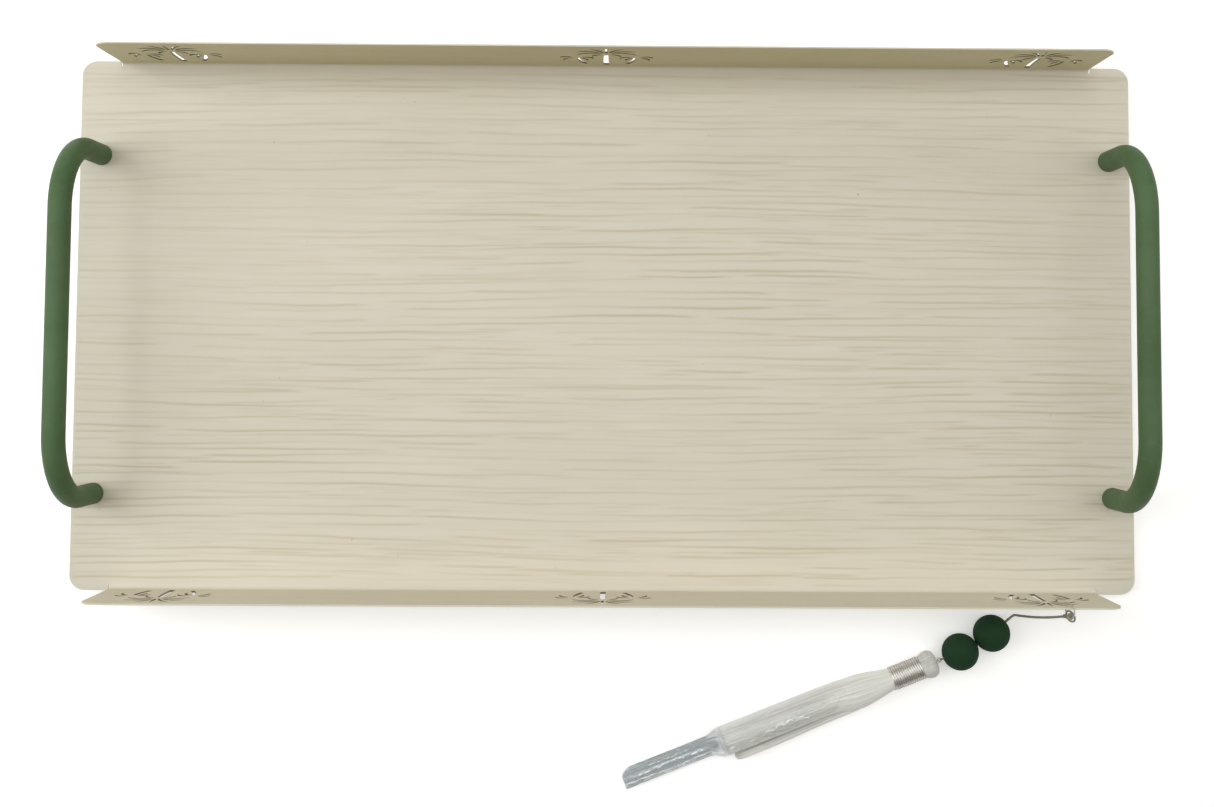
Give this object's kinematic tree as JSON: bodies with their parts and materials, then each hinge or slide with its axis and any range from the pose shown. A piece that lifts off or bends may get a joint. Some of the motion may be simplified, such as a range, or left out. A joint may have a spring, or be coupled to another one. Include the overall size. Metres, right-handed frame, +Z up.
{
  "type": "serving tray",
  "caption": "Rectangular sheet-metal serving tray with wood-grain surface, folded openwork side walls, bar handles and a beaded tassel on a cord.",
  "frame": {"origin": "middle of the surface that things stand on, which is the upper face of the flat base", "axes": "+X along the tray's long side, -Y towards the wall that carries the tassel, +Z up; the feet stand on the plane z = -5.8 mm"},
  "size_m": [0.5, 0.342, 0.0573],
  "materials": {
    "cream_coating": "satin cream coating over an embossed wood grain",
    "green_coating": "matt olive green powder coating",
    "zinc_steel": "bright zinc plating",
    "foot_rubber": "matt grey rubber",
    "silver_thread": "metallic silver thread",
    "cord_yarn": "grey twisted cord",
    "bead_plastic": "matt dark green soft-touch coating",
    "tassel_silk": "silky off-white strands",
    "clear_film": "thin clear crinkled film"
  },
  "bodies": {
    "tray": {"tray_sheet": "cream_coating", "handle_left": "green_coating", "handle_right": "green_coating", "handle_screws": "zinc_steel", "handle_washers": "zinc_steel", "bumper_feet": "foot_rubber", "rim_loop": "silver_thread"},
    "knot": {"cord_knot": "cord_yarn"},
    "cord": {"hanging_cord": "cord_yarn"},
    "upper_bead": {"upper_bead": "bead_plastic"},
    "lower_bead": {"lower_bead": "bead_plastic"},
    "link": {"tassel_loop": "silver_thread"},
    "tassel": {"tassel_strands": "tassel_silk", "neck_wrap": "silver_thread"},
    "sleeve": {"tassel_sleeve": "clear_film"}
  },
  "joints": [
    {"name": "cord_sweep", "type": "hinge", "parent": "tray", "child": "knot", "pos_m": [0.20736, -0.1285, 0.0362], "axis": [0, 0, 1], "range_deg": [-8, 110]},
    {"name": "cord_lift", "type": "hinge", "parent": "knot", "child": "cord", "pos_m": [0.20736, -0.1285, 0.0362], "axis": [-0.3328, 0.943, 0], "range_deg": [0, 45]},
    {"name": "upper_bead_spin", "type": "hinge", "parent": "cord", "child": "upper_bead", "pos_m": [0.1814, -0.1425, 0.003], "axis": [-0.7751, -0.6319, 0], "continuous": true},
    {"name": "lower_bead_spin", "type": "hinge", "parent": "cord", "child": "lower_bead", "pos_m": [0.16669, -0.15116, 0.003], "axis": [-0.9304, -0.3665, 0], "continuous": true},
    {"name": "link_swing", "type": "hinge", "parent": "cord", "child": "link", "pos_m": [0.15729, -0.15486, 0.003], "axis": [0, 0, 1], "range_deg": [-15, 30]},
    {"name": "tassel_lift", "type": "hinge", "parent": "link", "child": "tassel", "pos_m": [0.1559, -0.15541, 0.003], "axis": [-0.3665, 0.9304, 0], "range_deg": [0, 45]},
    {"name": "sleeve_slide", "type": "slide", "parent": "tassel", "child": "sleeve", "axis": [-0.9304, -0.3665, 0], "range_m": [0, 0.068]}
  ]
}
